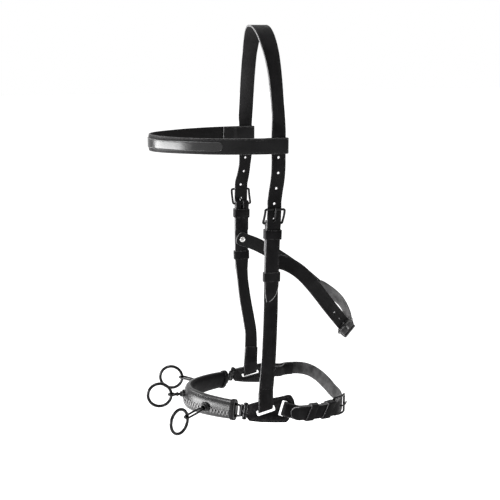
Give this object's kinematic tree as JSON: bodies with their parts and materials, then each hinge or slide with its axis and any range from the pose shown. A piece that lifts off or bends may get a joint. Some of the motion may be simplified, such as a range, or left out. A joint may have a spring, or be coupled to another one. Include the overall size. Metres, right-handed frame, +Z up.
{
  "type": "riding bridle",
  "caption": "Black leather bitless riding bridle: headpiece, browband, cheekpieces, throat strap and a padded hinged noseband with swivelling rings and a buckled chin strap.",
  "frame": {"origin": "middle of the flat underside of the headpiece, where it rests on the horse's poll", "axes": "+X to the horse's near (left) side, -Y forward towards the nose, +Z up"},
  "size_m": [0.1994, 0.3008, 0.5362],
  "materials": {
    "black_leather": "black bridle leather, semi-matt, with paler cut edges",
    "patent_leather": "glossy black raised leather",
    "blacked_metal": "black-finished metal, semi-gloss",
    "nickel": "nickel-plated rivet, polished"
  },
  "bodies": {
    "bridle": {"cheek_buckle_frame_far": "blacked_metal", "cheek_buckle_frame_near": "blacked_metal", "cheek_fixed_keeper_far": "black_leather", "cheek_fixed_keeper_near": "black_leather", "cheekpiece_far": "black_leather", "cheekpiece_near": "black_leather", "chin_buckle_frame": "blacked_metal", "chin_fixed_keeper": "black_leather", "chin_strap_far": "black_leather", "chin_strap_near": "black_leather", "headpiece": "black_leather", "hinge_pin_far": "blacked_metal", "hinge_pin_near": "blacked_metal", "nose_end_cap_far": "black_leather", "nose_end_cap_near": "black_leather", "nose_plate": "blacked_metal", "nosepiece_cover": "black_leather", "ring_stud_centre": "blacked_metal", "ring_stud_far": "blacked_metal", "ring_stud_near": "blacked_metal", "side_plate_far": "black_leather", "side_plate_near": "black_leather", "throat_rivet_far": "nickel", "throat_rivet_near": "nickel"},
    "browband": {"browband": "black_leather", "browband_panel": "patent_leather"},
    "throat_strap": {"throat_strap_near": "black_leather", "throat_strap_far": "black_leather", "throat_buckle_frame": "blacked_metal", "throat_keeper": "black_leather"},
    "throat_tongue": {"throat_buckle_tongue": "blacked_metal"},
    "cheek_tongue_near": {"cheek_buckle_tongue_near": "blacked_metal"},
    "cheek_tongue_far": {"cheek_buckle_tongue_far": "blacked_metal"},
    "chin_tongue": {"chin_buckle_tongue": "blacked_metal"},
    "cheek_runner_near": {"cheek_runner_near": "black_leather"},
    "cheek_runner_far": {"cheek_runner_far": "black_leather"},
    "chin_runner": {"chin_runner": "black_leather"},
    "swivel_near": {"ring_swivel_near": "blacked_metal"},
    "ring_near": {"ring_near": "blacked_metal"},
    "swivel_centre": {"ring_swivel_centre": "blacked_metal"},
    "ring_centre": {"ring_centre": "blacked_metal"},
    "swivel_far": {"ring_swivel_far": "blacked_metal"},
    "ring_far": {"ring_far": "blacked_metal"}
  },
  "joints": [
    {"name": "browband_slide", "type": "slide", "parent": "bridle", "child": "browband", "axis": [0, 0, 1], "range_m": [-0.016, 0.002]},
    {"name": "throat_swing", "type": "hinge", "parent": "bridle", "child": "throat_strap", "pos_m": [0, -0.0015, -0.303], "axis": [1, 0, 0], "range_deg": [-4, 18]},
    {"name": "cheek_tongue_near", "type": "hinge", "parent": "bridle", "child": "cheek_tongue_near", "pos_m": [0.078, -0.0008, -0.25], "axis": [0, 0.9996, -0.0296], "range_deg": [0, 5]},
    {"name": "cheek_tongue_far", "type": "hinge", "parent": "bridle", "child": "cheek_tongue_far", "pos_m": [-0.078, -0.0018, -0.25], "axis": [0, -0.9999, 0.016], "range_deg": [0, 5]},
    {"name": "throat_tongue", "type": "hinge", "parent": "throat_strap", "child": "throat_tongue", "pos_m": [0.03338, 0.11948, -0.41329], "axis": [-0.0749, 0.7066, 0.7037], "range_deg": [0, 5]},
    {"name": "chin_tongue", "type": "hinge", "parent": "bridle", "child": "chin_tongue", "pos_m": [0.07734, 0.08943, -0.514], "axis": [0, 0, -1], "range_deg": [0, 3.5]},
    {"name": "cheek_runner_near", "type": "slide", "parent": "bridle", "child": "cheek_runner_near", "axis": [0, -0.0118, -0.9999], "range_m": [-0.001, 0.022]},
    {"name": "cheek_runner_far", "type": "slide", "parent": "bridle", "child": "cheek_runner_far", "axis": [0, 0.023, -0.9997], "range_m": [-0.001, 0.002]},
    {"name": "chin_runner", "type": "slide", "parent": "bridle", "child": "chin_runner", "axis": [0.0986, -0.995, 0.0182], "range_m": [-0.003, 0.003]},
    {"name": "swivel_near", "type": "hinge", "parent": "bridle", "child": "swivel_near", "pos_m": [0.04222, -0.08466, -0.50956], "axis": [0.5509, -0.8278, -0.1062], "continuous": true},
    {"name": "ring_near", "type": "hinge", "parent": "swivel_near", "child": "ring_near", "pos_m": [0.06205, -0.11446, -0.51338], "axis": [0.0268, -0.1097, 0.9936], "range_deg": [-64, 56]},
    {"name": "swivel_centre", "type": "hinge", "parent": "bridle", "child": "swivel_centre", "pos_m": [-0.01417, -0.10477, -0.5101], "axis": [-0.1313, -0.9913, 0], "continuous": true},
    {"name": "ring_centre", "type": "hinge", "parent": "swivel_centre", "child": "ring_centre", "pos_m": [-0.01645, -0.12202, -0.5101], "axis": [-0.0502, 0.0066, 0.9987], "range_deg": [-60, 60]},
    {"name": "swivel_far", "type": "hinge", "parent": "bridle", "child": "swivel_far", "pos_m": [-0.06332, -0.07068, -0.51267], "axis": [-0.8167, -0.5759, -0.0372], "continuous": true},
    {"name": "ring_far", "type": "hinge", "parent": "swivel_far", "child": "ring_far", "pos_m": [-0.09272, -0.09142, -0.51401], "axis": [-0.0502, 0.0066, 0.9987], "range_deg": [-98, 22]}
  ]
}
